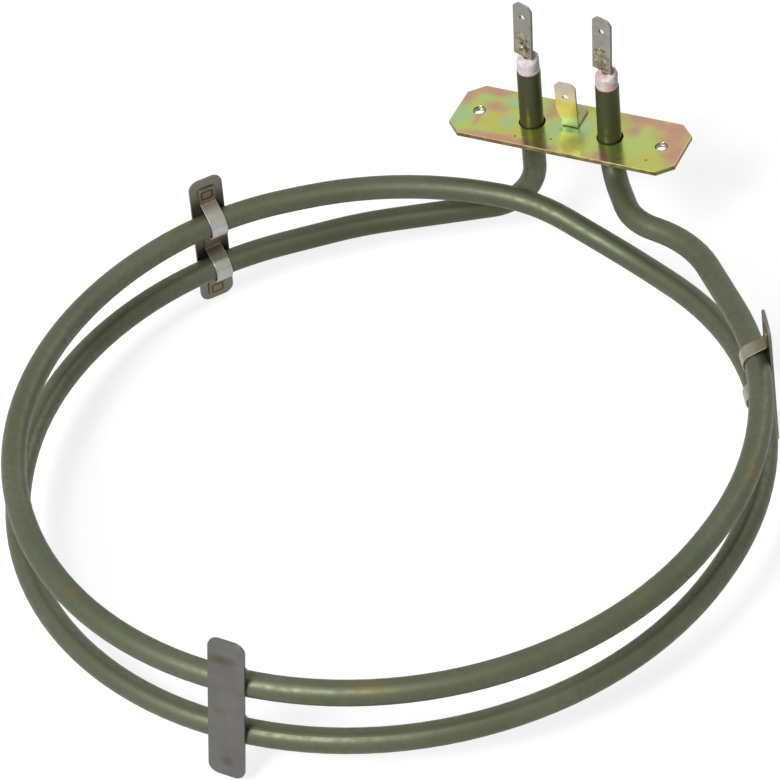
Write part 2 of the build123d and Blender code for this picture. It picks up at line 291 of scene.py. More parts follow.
class Coat(NodeBench):
    """A material in the making: its shader, its colour, and the place on the part in millimetres.

    Scales of noises and cells are per millimetre.
    """

    def __init__(self, name: str, base: Triple) -> None:
        """Open a material of this name on a base colour."""
        self.colour: object = base
        self.material = blank_material(name)
        super().__init__(self.material.node_tree)
        self.shader = self.add("ShaderNodeBsdfPrincipled")
        self.add("ShaderNodeOutputMaterial", {"Surface": self.shader.outputs[0]})
        inputs = {0: self.add("ShaderNodeTexCoord").outputs["Object"], "Scale": 1.0 / MM}
        self.place = self.add("ShaderNodeVectorMath", inputs, operation="SCALE").outputs[0]

    def over(self, mask: object, tone: Triple, share: object = 1.0) -> None:
        """Lay a tone over the colour where a mask shows it, at most at a share."""
        self.colour = self.tint(mask, self.colour, tone, share)

    def clouds(self, scale: float, low: float, high: float, at: Socket | None = None) -> Socket:
        """Soft patches, from where the noise reads low to where it reads high."""
        return SHELF.mask(self, Effect.CLOUDS, Vector=at or self.place, Scale=scale, Low=low,
                          High=high)

    def hairlines(self, scale: float, width: float, cover: float,
                  at: Socket | None = None) -> Socket:
        """Scratches of a width in the noise's own height, over a share of the surface."""
        return SHELF.mask(self, Effect.HAIRLINES, Vector=at or self.place, Scale=scale,
                          Width=width, Cover=cover)

    def pits(self, scale: float, size: float, share: float) -> Socket:
        """Dots of a size in cells, in a share of the cells."""
        return SHELF.mask(self, Effect.PITS, Vector=self.place, Scale=scale, Size=size,
                          Share=share)

    def stain(self, centre: Triple, reach: Triple, ragged: float, grain: float) -> Socket:
        """One patch at a place."""
        return SHELF.mask(self, Effect.STAIN, Vector=self.place, Centre=centre, Reach=reach,
                          Ragged=ragged, Grain=grain)

    def stained(self, *stains: Stain) -> None:
        """Lay stains over the colour, in order."""
        for stain in stains:
            mask = self.stain(stain.centre, stain.reach, stain.ragged, stain.grain)
            self.over(mask, stain.colour, stain.strength)

    def along(self, axis: str, start: float, end: float) -> Socket:
        """Smooth mask that is 0 where an axis reads start and 1 where it reads end."""
        return self.ramp(self.axis(self.place, axis), start, end)

    def sheared(self, side_way: Triple) -> Socket:
        """Mask of the cut sides, which look along a direction or straight against it."""
        facing = self.add("ShaderNodeNewGeometry").outputs["True Normal"]
        turned = self.sum_up("ABSOLUTE", self.vector("DOT_PRODUCT", facing, side_way))
        return self.ramp(turned, 0.6, 0.9, top=0.85, smooth=False)

    def rolled(self, stretch: Triple, scale: float) -> Socket:
        """Rolling grain: a noise drawn out along one axis."""
        return self.noise(self.vector("MULTIPLY", self.place, stretch), scale, 2.0)

    def closed(self, roughness: object, metallic: float = 0.0, relief: Socket | None = None,
               depth_mm: float = 0.0) -> Material:
        """Feed the shader and hand over the material.

        Args:
            roughness: Value or socket.
            metallic: From 0 to 1.
            relief: Height for the bump, or None for a smooth surface.
            depth_mm: What the height's full range is worth.

        Returns:
            The material.
        """
        for name, value in (("Base Color", self.colour), ("Roughness", roughness),
                            ("Metallic", metallic)):
            self.feed(self.shader.inputs[name], value)
        if relief is not None:
            bump = self.add("ShaderNodeBump", {"Strength": 1.0, "Distance": depth_mm * MM,
                                               "Height": relief})
            self.feed(self.shader.inputs["Normal"], bump.outputs[0])
        return self.material


# --------------------------------------------------------------------------- finishes

@dataclass(frozen=True)
class Finish:
    """What every finish has: the name of its material."""

    name: str


@dataclass(frozen=True)
class SheathFinish(Finish):
    """Annealed sheath: matt olive scale, darker and browner on the legs, with pits and rubs, and
    painted shade on the lower turn at the back.
    """

    olive: Triple = (0.111, 0.125, 0.0765)
    pale: Triple = (0.134, 0.147, 0.096)
    deep: Triple = (0.087, 0.098, 0.056)
    leg_brown: Triple = (0.072, 0.077, 0.036)
    lower_turn_shade: Triple = (0.066, 0.071, 0.042)
    pit: Triple = (0.035, 0.036, 0.022)
    rub: Triple = (0.36, 0.36, 0.28)
    rust: Triple = (0.200, 0.125, 0.035)
    tan: Triple = (0.165, 0.132, 0.055)
    metallic: float = 0.55
    gloss: float = 0.15

    def material(self) -> Material:
        """Build the sheath's material."""
        coat = Coat(self.name, self.olive)
        fine = coat.clouds(scale=0.50, low=0.30, high=0.75)
        coat.over(coat.clouds(scale=0.030, low=0.35, high=0.68), self.pale)
        coat.over(fine, self.deep, 0.35)
        coat.over(coat.along("Z", -2.5, 0.5), self.leg_brown, 0.95)
        coat.stained(
            Stain((-57.0, -203.9, -8.2), (2.0, 1.6, 1.9), self.rust, 0.5),
            Stain((30.0, -210.0, -8.5), (10.0, 3.0, 2.6), self.tan, 0.6),
            Stain((82.3, -157.0, -8.3), (4.0, 7.0, 3.0), self.tan, 0.4),
            Stain((94.9, -105.4, -9.6), (3.5, 8.0, 4.0), self.tan, 0.5),
            # Painted shade: the lower turn is darkened at the back, where the upper turn shades it.
            Stain((-52.0, -28.0, -29.0), (60.0, 34.0, 10.0), self.lower_turn_shade, 0.65, 0.3, 0.05),
        )
        pits = coat.pits(scale=0.42, size=0.16, share=0.26)
        coat.over(pits, self.pit, 0.7)
        rubs = coat.times(coat.hairlines(scale=0.30, width=0.006, cover=0.50), 0.4)
        worn = coat.sum_up("MAXIMUM", rubs, coat.pits(scale=0.23, size=0.075, share=0.20))
        coat.over(worn, self.rub)
        coat.feed(coat.shader.inputs["Specular IOR Level"], self.gloss)
        grain = coat.times(coat.noise(coat.place, 2.2, 3.0), 0.35)
        return coat.closed(coat.level(fine, 0.42, 0.53), self.metallic,
                           coat.sum_up("SUBTRACT", grain, pits), depth_mm=0.04)


@dataclass(frozen=True)
class ZincFinish(Finish):
    """Yellow chromate on zinc: glossy, yellow-green, drifting to rose and pale teal."""

    gold: Triple = (0.510, 0.490, 0.105)
    lime: Triple = (0.440, 0.550, 0.150)
    rose: Triple = (0.525, 0.245, 0.222)
    teal: Triple = (0.330, 0.520, 0.290)
    # Painted shade and a painted reflection of the tab's dark bend, on the plate before the earth
    # tab.
    shadow: Triple = (0.250, 0.270, 0.085)
    painted_bend_reflection: Triple = (0.090, 0.190, 0.130)
    dirt: Triple = (0.10, 0.08, 0.03)
    edge: Triple = (0.150, 0.092, 0.040)
    haze: tuple[float, float] = (0.15, 0.27)
    metallic: float = 0.85

    def material(self) -> Material:
        """Build the plated material, duller on cut edges and in front of the earth tab."""
        coat = Coat(self.name, self.gold)
        self.drift(coat)
        coat.over(coat.pits(scale=0.20, size=0.07, share=0.16), self.dirt, 0.7)
        self.grade(coat)
        haze = coat.level(coat.clouds(scale=0.5, low=0.3, high=0.8), *self.haze)
        handled = coat.stain((3.0, -6.0, 0.0), (4.6, 6.6, 4.0), ragged=0.5, grain=0.4)
        dull = coat.sum_up("ADD", coat.times(self.cut_edge(coat), 0.3), coat.times(handled, 0.28))
        lines = coat.times(coat.hairlines(scale=0.9, width=0.006, cover=0.5), 0.5)
        relief = coat.sum_up("SUBTRACT", coat.noise(coat.place, 0.9, 3.0), lines)
        return coat.closed(coat.sum_up("ADD", haze, dull), self.metallic, relief, depth_mm=0.010)

    def cut_edge(self, coat: Coat) -> Socket:
        """Mask of the heights between the plate's two faces."""
        return coat.times(coat.along("Z", -0.03, -0.10), coat.along("Z", -1.49, -1.44))

    def drift(self, coat: Coat) -> None:
        """Let the colour wander from gold to lime, with rose where a second noise is high."""
        coat.over(coat.clouds(scale=0.075, low=0.38, high=0.62), self.lime)
        elsewhere = coat.vector("ADD", coat.place, (41.0, 17.0, 5.0))
        coat.over(coat.clouds(scale=0.11, low=0.56, high=0.72, at=elsewhere), self.rose, 0.25)

    def grade(self, coat: Coat) -> None:
        """Lay the plate's patches, painted shade and a painted tab reflection over the colour, and
        brown its cut edges.

        Each patch is a place x, y on the plate and how far it reaches along both.
        """
        patches = (
            (self.rose, ((-27.5, 9.4, 9.0, 2.4), (-33.0, 4.4, 2.4, 3.4), (-23.9, 3.0, 3.8, 2.6),
                         (-27.0, -3.2, 1.0, 3.4), (-6.8, 4.8, 2.6, 3.6), (-3.5, 9.8, 6.0, 1.8),
                         (30.5, 4.6, 5.6, 6.4), (33.6, -3.0, 3.0, 6.0), (19.0, 9.6, 11.0, 2.6),
                         (13.4, -9.4, 4.2, 2.6), (18.2, 4.0, 2.2, 3.0), (-17.0, -9.9, 16.0, 1.6))),
            (self.teal, ((-31.9, -3.6, 3.6, 3.4), (-19.6, 6.4, 2.8, 2.4), (-3.9, -1.6, 2.4, 4.2),
                         (4.6, 1.0, 2.6, 4.6), (-18.0, -2.6, 2.6, 2.4))),
            (self.lime, ((22.4, -0.6, 5.4, 3.0),)),
        )
        spread, thick = 1.25, 4.0
        stains = [Stain((x, y, 0.0), (spread * wide, spread * deep, thick), tone, 0.8, 1.7, 0.16)
                  for tone, places in patches for x, y, wide, deep in places]
        # Painted shade before the earth tab, dimming the tab's reflection in the plate, and a
        # painted reflection of the tab's dark bend.
        stains += [Stain((3.2, -6.0, 0.0), (4.4, 6.6, 4.0), self.shadow, 0.85, 0.4, 0.4),
                   Stain((0.6, -1.0, 0.0), (3.2, 1.5, 2.0), self.painted_bend_reflection, 0.9, 0.4, 0.6)]
        stains += [Stain((x, y, 0.0), (0.5, 0.5, 1.0), self.dirt, 0.9, 0.6, 1.5)
                   for x, y in ((-13.6, -7.8), (-3.3, -6.1), (25.9, -6.8))]
        coat.stained(*stains)
        worn = coat.level(coat.clouds(scale=0.35, low=0.35, high=0.75), 0.95, 0.55)
        coat.over(self.cut_edge(coat), self.edge, worn)


@dataclass(frozen=True)
class TabZincFinish(ZincFinish):
    """The same plating on the earth tab, fading with height from a painted teal highlight at the
    bend to silver.
    """

    silver: Triple = (0.560, 0.490, 0.415)
    amber: Triple = (0.440, 0.330, 0.110)
    painted_bend_highlight: Triple = (0.420, 0.500, 0.380)
    moss: Triple = (0.150, 0.185, 0.070)
    shear: Triple = (0.080, 0.085, 0.040)
    haze: tuple[float, float] = (0.40, 0.52)

    def grade(self, coat: Coat) -> None:
        """Run up the tab through moss, a painted pale teal highlight at the bend, and amber to
        silver.
        """
        coat.over(0.6, self.moss)
        # The pale teal band just above the bend is a painted highlight.
        for start, end, tone, share in ((0.2, 1.4, self.painted_bend_highlight, 0.9),
                                        (2.0, 4.0, self.amber, 0.9),
                                        (7.5, 12.0, self.silver, 1.0)):
            coat.over(coat.along("Z", start, end), tone, share)
        coat.over(coat.sheared((1.0, 0.0, 0.0)), self.shear)


@dataclass(frozen=True)
class ThreadFinish(Finish):
    """Cut thread: bright along the crests, with painted shade darkening it down in the roots."""

    hole_x: float
    crest_r: float
    root_r: float
    crest: Triple = (0.62, 0.60, 0.50)
    oily: Triple = (0.40, 0.38, 0.28)
    root: Triple = (0.075, 0.062, 0.030)

    def material(self) -> Material:
        """Build the thread's material, by the distance from the hole's axis."""
        coat = Coat(self.name, self.crest)
        from_middle = coat.sum_up("ABSOLUTE", coat.axis(coat.place, "X"))
        across = coat.sum_up("SUBTRACT", from_middle, self.hole_x)
        flat = coat.add("ShaderNodeCombineXYZ", {0: across, 1: coat.axis(coat.place, "Y")})
        depth = coat.ramp(coat.vector("LENGTH", flat.outputs[0]), self.crest_r + 0.03,
                          self.root_r - 0.06, smooth=False)
        coat.over(coat.clouds(scale=0.8, low=0.3, high=0.7), self.oily)
        # Painted shade: darker from the crests down into the roots of the thread.
        coat.over(depth, self.root)
        return coat.closed(coat.level(depth, 0.22, 0.5), metallic=0.85)


@dataclass(frozen=True)
class NickelFinish(Finish):
    """Nickel-plated steel of the blades and pins: satin grey, finely rolled, a little tarnished."""

    grey: Triple = (0.375, 0.365, 0.330)
    dull: Triple = (0.285, 0.275, 0.240)
    heated: Triple = (0.33, 0.27, 0.16)
    scratch: Triple = (0.6, 0.59, 0.55)
    shear: Triple = (0.060, 0.055, 0.045)
    side_way: Triple = (0.963, -0.271, 0.0)
    weld_z: float = 27.5
    heated_h: float = 6.5

    def material(self) -> Material:
        """Build the nickel material, browned upwards from the weld."""
        coat = Coat(self.name, self.grey)
        cloud = coat.clouds(scale=0.35, low=0.35, high=0.7)
        coat.over(cloud, self.dull, 0.6)
        heat = coat.along("Z", self.weld_z + self.heated_h, self.weld_z)
        uneven = coat.level(coat.clouds(scale=0.9, low=0.3, high=0.7), 0.2, 0.75)
        coat.over(heat, self.heated, uneven)
        lines = coat.hairlines(scale=0.8, width=0.008, cover=0.55)
        coat.over(lines, self.scratch, 0.3)
        coat.over(coat.sheared(self.side_way), self.shear)
        return coat.closed(coat.level(cloud, 0.30, 0.44), 0.85,
                           coat.rolled((1.0, 1.0, 0.12), 5.0), depth_mm=0.010)


@dataclass(frozen=True)
class ScaleFinish(Finish):
    """Burnt scale round the blades' spot welds: gold-brown lumps with bright and dark grains."""

    brown: Triple = (0.190, 0.172, 0.100)
    gold: Triple = (0.400, 0.370, 0.250)
    bright: Triple = (0.72, 0.68, 0.58)
    burnt: Triple = (0.055, 0.045, 0.030)

    def material(self) -> Material:
        """Build the weld scale's material."""
        coat = Coat(self.name, self.brown)
        coat.over(coat.clouds(scale=0.42, low=0.38, high=0.62), self.gold)
        dark = coat.clouds(scale=0.70, low=0.54, high=0.64)
        coat.over(dark, self.burnt, 0.85)
        beads = coat.pits(scale=0.62, size=0.36, share=0.28)
        coat.over(beads, self.bright, 0.8)
        return coat.closed(coat.level(dark, 0.35, 0.6), 0.75,
                           coat.noise(coat.place, 1.6, 2.0), depth_mm=0.04)


@dataclass(frozen=True)
class CeramicFinish(Finish):
    """Porous white ceramic bead, smeared a little with the sealing varnish."""

    smear_share: float
    white: Triple = (0.860, 0.845, 0.840)
    shade: Triple = (0.690, 0.665, 0.655)
    smear: Triple = (0.74, 0.46, 0.42)
    crack: Triple = (0.12, 0.10, 0.09)
    pore: Triple = (0.20, 0.17, 0.16)
    ring_z: float = 19.0

    def material(self) -> Material:
        """Build the bead's material, most smeared just above the varnish ring."""
        coat = Coat(self.name, self.white)
        cloud = coat.clouds(scale=0.45, low=0.35, high=0.7)
        coat.over(cloud, self.shade)
        blush = coat.clouds(scale=0.30, low=0.40, high=0.62)
        coat.over(blush, self.smear, self.smear_share)
        low = coat.along("Z", self.ring_z + 0.5, self.ring_z)
        coat.over(low, self.smear, 0.5)
        upright = coat.vector("MULTIPLY", coat.place, (2.2, 0.8, 0.25))
        cracks = coat.hairlines(scale=0.9, width=0.010, cover=0.52, at=upright)
        coat.over(cracks, self.crack, 0.75)
        pores = coat.pits(scale=1.4, size=0.22, share=0.25)
        coat.over(pores, self.pore, 0.35)
        relief = coat.sum_up("SUBTRACT", coat.noise(coat.place, 2.5, 4.0), coat.times(pores, 0.6))
        return coat.closed(coat.level(cloud, 0.55, 0.8), relief=relief, depth_mm=0.08)


@dataclass(frozen=True)
class ClipFinish(Finish):
    """Stainless sheet of the clips: satin grey, with heat marks, tarnished towards the back."""

    stains: tuple[Stain, ...]
    steel: Triple = (0.154, 0.150, 0.140)
    cloud: Triple = (0.126, 0.122, 0.112)
    tarnish: Triple = (0.200, 0.185, 0.140)
    scratch: Triple = (0.5, 0.5, 0.48)
    clean_y: float = -150.0
    tarnished_y: float = -70.0

    def material(self) -> Material:
        """Build the sheet's material."""
        coat = Coat(self.name, self.steel)
        mist = coat.clouds(scale=0.16, low=0.3, high=0.7)
        coat.over(mist, self.cloud, 0.7)
        back = coat.along("Y", self.clean_y, self.tarnished_y)
        coat.over(back, self.tarnish, coat.level(mist, 0.5, 0.9))
        coat.stained(*self.stains)
        lines = coat.hairlines(scale=0.6, width=0.006, cover=0.5)
        coat.over(lines, self.scratch, 0.3)
        return coat.closed(coat.level(mist, 0.36, 0.50), 0.8,
                           coat.rolled((1.0, 1.0, 0.1), 4.0), depth_mm=0.012)


@dataclass(frozen=True)
class StrapFinish(Finish):
    """Tempered strap: bright on the humps, brown on flanks and feet, dark in the welds, with
    painted shade under each hump.
    """

    bright: Triple = (0.430, 0.430, 0.440)
    warm: Triple = (0.385, 0.360, 0.295)
    brown: Triple = (0.180, 0.158, 0.105)
    groove: Triple = (0.040, 0.032, 0.018)
    scratch: Triple = (0.55, 0.54, 0.50)

    def material(self) -> Material:
        """Build the strap's material; its brightness, with painted shade under the humps, and its
        groove come with the mesh.
        """
        coat = Coat(self.name, self.brown)
        polish_and_shade, sunk = (coat.add("ShaderNodeAttribute", attribute_name=name).outputs["Fac"]
                        for name in ("polish_and_shade", "groove"))
        coat.over(coat.ramp(polish_and_shade, 0.10, 0.62), self.warm)
        coat.over(coat.ramp(polish_and_shade, 0.70, 1.0), self.bright)
        coat.over(coat.clouds(scale=0.30, low=0.3, high=0.7), self.brown, 0.3)
        coat.over(sunk, self.groove)
        lines = coat.hairlines(scale=0.7, width=0.007, cover=0.5)
        coat.over(lines, self.scratch, 0.3)
        return coat.closed(coat.level(polish_and_shade, 0.46, 0.28), 0.85,
                           coat.rolled((1.0, 1.0, 0.1), 5.0), depth_mm=0.012)


@dataclass(frozen=True)
class MottledFinish(Finish):
    """Two tones in soft patches, for varnish, packed powder or drawn wire."""

    light: Triple
    dark: Triple
    metallic: float = 0.0
    roughness: tuple[float, float] = (0.5, 0.9)
    scale: float = 1.2
    spread: float = 0.2

    def material(self) -> Material:
        """Build the material, its patches easing over a spread on both sides of the middle."""
        coat = Coat(self.name, self.light)
        cloud = coat.clouds(self.scale, low=0.5 - self.spread, high=0.5 + self.spread)
        coat.over(cloud, self.dark)
        return coat.closed(coat.level(cloud, *self.roughness), self.metallic)


# --------------------------------------------------------------------------- meshes

def numbered(points: Array) -> Array:
    """Number a grid's points row by row."""
    return np.arange(points[..., 0].size).reshape(points.shape[:2])


def sheet_quads(grid: Array) -> Array:
    """Quads of an open grid."""
    return np.stack([grid[:-1, :-1], grid[:-1, 1:], grid[1:, 1:], grid[1:, :-1]],
                    -1).reshape(-1, 4)


def ring_quads(grid: Array) -> Array:
    """Quads between a grid's rows, each row joined round to its own start."""
    near, far = grid[:-1], grid[1:]
    return np.stack([near, np.roll(near, -1, 1), np.roll(far, -1, 1), far], -1).reshape(-1, 4)


def border(grid: Array) -> Array:
    """Numbers round a grid's border, in order."""
    return np.concatenate([grid[0, :-1], grid[:-1, -1], grid[-1, :0:-1], grid[:0:-1, 0]])


def wrapped_quads(points: Array) -> Array:
    """Quads of a grid that joins up in both directions, like a ring's skin."""
    here = numbered(points)
    return ring_quads(np.vstack([here, here[:1]]))


def pillow_quads(front: Array) -> Array:
    """Quads of a thin body: a front grid and a back grid after it, joined round their border."""
    near = numbered(front)
    far = near + near.size
    rim, back_rim = border(near), border(far)
    sides = np.stack([rim, back_rim, np.roll(back_rim, -1), np.roll(rim, -1)], -1)
    return np.concatenate([sheet_quads(near), sheet_quads(far)[:, ::-1], sides])


def capped_quads(sections: Array) -> Array:
    """Quads of a bar: sections along it, each joined round, with a flat face at both ends."""
    here = numbered(sections)
    half = here.shape[1] // 2
    first, last = (np.stack([ring[:half - 1], ring[1:half], ring[::-1][1:half],
                             ring[::-1][:half - 1]], -1) for ring in here[[0, -1]])
    return np.concatenate([ring_quads(here), first[:, ::-1], last])


def placed_mesh(name: str, points: Array, faces: Array,
                crease_deg: float) -> Piece:
    """Put points and quads into a mesh and hang it on the part.

    Args:
        name: The piece's name.
        points: Array of points in millimetres, its last axis x, y, z.
        faces: Array of m x 4 numbers, turning the same way round seen from outside.
        crease_deg: Edges sharper than this stay sharp.

    Returns:
        The piece, its volume positive, riding with the part.
    """
    points = points.reshape(-1, 3)
    corners = points[faces]
    normals = np.cross(corners[:, 2] - corners[:, 0], corners[:, 3] - corners[:, 1])
    if np.einsum("ij,ij->", corners.mean(1) - points.mean(0), normals) < 0:
        faces = faces[:, ::-1]
    mesh = bpy.data.meshes.new(name)
    mesh.from_pydata((points * MM).tolist(), [], faces.tolist())
    mesh.polygons.foreach_set("use_smooth", np.ones(len(mesh.polygons), bool))
    mesh.set_sharp_from_angle(angle=math.radians(crease_deg))
    mesh.update()
    piece = bpy.data.objects.new(name, mesh)
    bpy.context.scene.collection.objects.link(piece)
    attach(piece, "root")
    return piece


def rising(values: Array, start: float, run: float) -> Array:
    """0 up to a start, 1 from a run above it, and straight between."""
    return np.clip((values - start) / run, 0, 1)


def ripple(u: Array, v: Array, seed: int) -> Array:
    """Smooth random relief from 0 to 1: a sum of sine waves of u and v with seeded slopes.

    Args:
        u: Array of one parameter; its slopes are whole, so the relief joins up round a turn.
        v: Array of the other parameter.
        seed: Seed of the slopes and phases.

    Returns:
        The relief at each pair of u and v.
    """
    waves, steepest = 14, 4
    draw = np.random.default_rng(seed)
    across = draw.integers(-steepest, steepest + 1, waves)
    along = draw.uniform(-steepest, steepest, waves)
    phase = draw.uniform(0, 2 * math.pi, waves)
    total = np.sin(u[..., None] * across + v[..., None] * along + phase).sum(-1)
    return 0.5 + 0.5 * np.tanh(total / math.sqrt(waves))


def dress(nodes: dict[str, Piece], name: str, material: Material) -> None:
    """Give a solid its material."""
    mesh = nodes[name].data
    mesh.materials.clear()
    mesh.materials.append(material)
    LOG.info("dressed %s in %s", name, material.name)


def finish_piece(piece: Piece, material: Material) -> None:
    """Give a new piece its material."""
    piece.data.materials.append(material)
    LOG.info("made %s in %s, %d faces", piece.name, material.name, len(piece.data.polygons))


# --------------------------------------------------------------------------- sub-assemblies

@dataclass
class HeatedTube:
    """The sheath with what is drawn down inside it, and the fillets that hold it in the plate."""

    nodes: dict[str, Piece]

    def build(self) -> None:
        """Dress the sheath, the welds and the sealed pieces."""
        sheath = SheathFinish("olive_sheath").material()
        for name in ("sheath_tube", "leg_weld_left", "leg_weld_right"):
            dress(self.nodes, name, sheath)
        powder = MottledFinish("packed_magnesia", (0.70, 0.69, 0.65), (0.55, 0.54, 0.50))
        wire = MottledFinish("drawn_alloy", (0.33, 0.32, 0.30), (0.24, 0.23, 0.21), 0.9)
        dress(self.nodes, "magnesia_fill", powder.material())
        dress(self.nodes, "resistance_coil", wire.material())


@dataclass
class MountingPlate:
    """The plated flange with its two tapped holes and the earth tab."""

    nodes: dict[str, Piece]
    screw_x: float = 27.85
    wall_r: float = 1.70
    crest_r: float = 1.38
    pitch: float = 0.7
    top: float = -0.06
    bottom: float = -1.40

    def build(self) -> None:
        """Dress the plate and the tab, and put the threads into the holes."""
        dress(self.nodes, "mounting_plate", ZincFinish("plate_zinc").material())
        dress(self.nodes, "earth_tab", TabZincFinish("earth_tab_zinc").material())
        cut = ThreadFinish("cut_thread", self.screw_x, self.crest_r, self.wall_r).material()
        for side, x in (("left", -self.screw_x), ("right", self.screw_x)):
            finish_piece(self.thread(f"screw_thread_{side}", x), cut)

    def thread(self, name: str, x: float) -> Piece:
        """Make the crests of a tapped hole.

        The inner face is a tube whose radius runs between the wall and the crest as a triangle
        wave of height over pitch less turn, so its crests climb one pitch a turn. It fades into
        the wall at both ends, and an outer face inside the plate closes it.

        Args:
            name: The piece's name.
            x: The hole's place along the plate.

        Returns:
            The thread.
        """
        fade_h, in_wall = 0.15, 0.15
        root_end, crest_start = 0.08, 0.88
        turn = np.linspace(0, 2 * math.pi, 96, endpoint=False)
        angle, level = np.meshgrid(turn, np.linspace(self.bottom, self.top, 72))
        phase = (level / self.pitch - angle / (2 * math.pi)) % 1.0
        wave = 1.0 - np.abs(2.0 * phase - 1.0)
        fade = rising(np.minimum(level - self.bottom, self.top - level), 0.0, fade_h)
        out = rising(wave, root_end, crest_start - root_end) * fade
        inner = self.wall_r - (self.wall_r - self.crest_r) * out
        radius = np.concatenate([inner, np.full_like(inner, self.wall_r + in_wall)])
        angle, level = np.concatenate([angle, angle]), np.concatenate([level, level[::-1]])
        grid = np.stack([x + radius * np.cos(angle), radius * np.sin(angle), level], -1)
        return placed_mesh(name, grid, wrapped_quads(grid), crease_deg=30.0)


@dataclass
class Terminal:
    """One end of the element: pin, ceramic bead, varnish ring, blade and its burnt weld."""

    nodes: dict[str, Piece]
    side: str
    leg_x: float
    yaw_deg: float
    blade_bottom: float
    smear_share: float
    seed: int
    leg_y: float = -0.3
    lean_deg: float = 1.5
    mouth: float = 18.5
    blade_shift: float = -0.6
    blade_front: float = 1.35
    blade_lean_deg: float = 2.3
    back_rise: float = 1.1

    def build(self, nickel: Material, scale: Material,
              varnish: Material) -> None:
        """Dress the metal pieces, replace the bead and add the weld's scale.

        Args:
            nickel: Finish of the pin and the blade.
            scale: Finish of the burnt weld.
            varnish: Finish of the ring.
        """
        dress(self.nodes, f"terminal_pin_{self.side}", nickel)
        dress(self.nodes, f"terminal_blade_{self.side}", nickel)
        dress(self.nodes, f"end_seal_{self.side}", varnish)
        ceramic = CeramicFinish(f"bead_ceramic_{self.side}", self.smear_share).material()
        bead = self.bead()
        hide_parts(f"end_bush_{self.side}")
        finish_piece(bead, ceramic)
        finish_piece(self.weld_scale(), scale)

    def on_leg(self, x: Array, y: Array, height: Array) -> Array:
        """Turn places across and up a leg's leaning axis into the part's frame."""
        lean = math.radians(self.lean_deg)
        return np.stack([self.leg_x + x * math.cos(lean) + height * math.sin(lean),
                         self.leg_y + y,
                         height * math.cos(lean) - x * math.sin(lean)], -1)

    def bead(self) -> Piece:
        """Make the ceramic bead.

        A closed profile of radius and height goes round the leg's axis: up the bore, over a
        rounded, uneven shoulder, down the head's side, in to the spigot and down it. Smooth
        random relief takes up to a few tenths off the side and the shoulder, and the shoulder
        climbs behind the blade as the sine of the angle round the leg.

        Returns:
            The bead.
        """
        head_r, spigot_r, bore, rounding = 3.28, 2.84, 1.2, 1.15
        top, head_low, depth = 5.1, 0.3, -3.0
        flat_r, side_top = head_r - rounding, top - rounding
        shoulder = np.linspace(0, math.pi / 2, 12)[1:]
        radius = np.concatenate([
            np.full(10, bore), np.linspace(bore, flat_r, 8)[1:],
            flat_r + rounding * np.sin(shoulder), np.full(16, head_r),
            np.linspace(head_r, spigot_r, 4)[1:], np.full(6, spigot_r),
            np.linspace(spigot_r, bore, 5)[1:-1]])
        height = np.concatenate([
            np.linspace(depth, top, 10), np.full(7, top),
            side_top + rounding * np.cos(shoulder),
            np.linspace(side_top, head_low, 18)[1:-1], np.full(3, head_low),
            np.linspace(head_low, depth, 7)[1:], np.full(3, depth)])
        turn = np.linspace(0, 2 * math.pi, 80, endpoint=False)
        angle, r = np.meshgrid(turn, radius)
        h = np.meshgrid(turn, height)[1]
        coarse, fine = ripple(angle, h * 0.8, self.seed), ripple(angle * 3, h * 2.5, self.seed + 5)
        side_cut, top_cut, fine_side, fine_top = 0.20, 0.50, 0.06, 0.08
        shoulder_h, rise_turned = 1.4, 0.35
        outside = rising(r, bore + 0.3, 0.8) * rising(h, head_low + 0.05, 0.5)
        r = r - outside * (side_cut * coarse + fine_side * fine)
        on_top = outside * rising(h, top - shoulder_h, shoulder_h)
        behind = np.clip(0.5 + 0.9 * np.sin(angle + rise_turned), 0, 1)
        worn = top_cut * ripple(angle, r * 1.5, self.seed + 9) + fine_top * fine
        h = h + on_top * (self.back_rise * behind - worn)
        grid = self.on_leg(r * np.cos(angle), r * np.sin(angle), self.mouth + h)
        quads = wrapped_quads(grid)
        return placed_mesh(f"ceramic_bead_{self.side}", grid, quads, crease_deg=50.0)

    def weld_scale(self) -> Piece:
        """Make the burnt scale on the blade's face over the pin.

        A height over the blade's width and height: lumps of random relief under an envelope
        that falls below the face at the patch's border, backed by a grid inside the blade.

        Returns:
            The scale.
        """
        half_w, half_h, middle_x, middle_z = 2.75, 4.1, -0.1, 4.35
        tallest, sunk, border_sunk, in_blade = 0.50, 0.08, 0.12, 0.25
        fullness, raggedness, deepest, coat_share, border_from = 1.65, 0.95, -0.4, 0.10, 0.97
        across, up = np.meshgrid(np.linspace(-1, 1, 60), np.linspace(-1, 1, 100))
        ragged = ripple(across * 3, up * 5, self.seed + 3)
        bulge = fullness - np.abs(across) ** 3 - np.abs(up) ** 3
        envelope = np.clip(bulge - raggedness * ragged, deepest, 1.0)
        lumps = (0.7 * ripple(across * 2.2, up * 3.6, self.seed + 1) ** 1.5
                 + 0.3 * ripple(across * 6, up * 10, self.seed + 2))
        rise = tallest * envelope * (coat_share + lumps) - sunk
        at_border = np.maximum(np.abs(across), np.abs(up)) > border_from
        rise = np.where(at_border, -border_sunk, rise)
        lean = math.radians(self.blade_lean_deg)
        x, z = middle_x + half_w * across, middle_z + half_h * up
        x, z = x * math.cos(lean) + z * math.sin(lean), z * math.cos(lean) - x * math.sin(lean)
        front = self._on_blade(x, -self.blade_front - rise, z)
        back = self._on_blade(x, np.full_like(x, in_blade - self.blade_front), z)
        return placed_mesh(f"weld_scale_{self.side}", np.stack([front, back]),
                           pillow_quads(front), crease_deg=60.0)

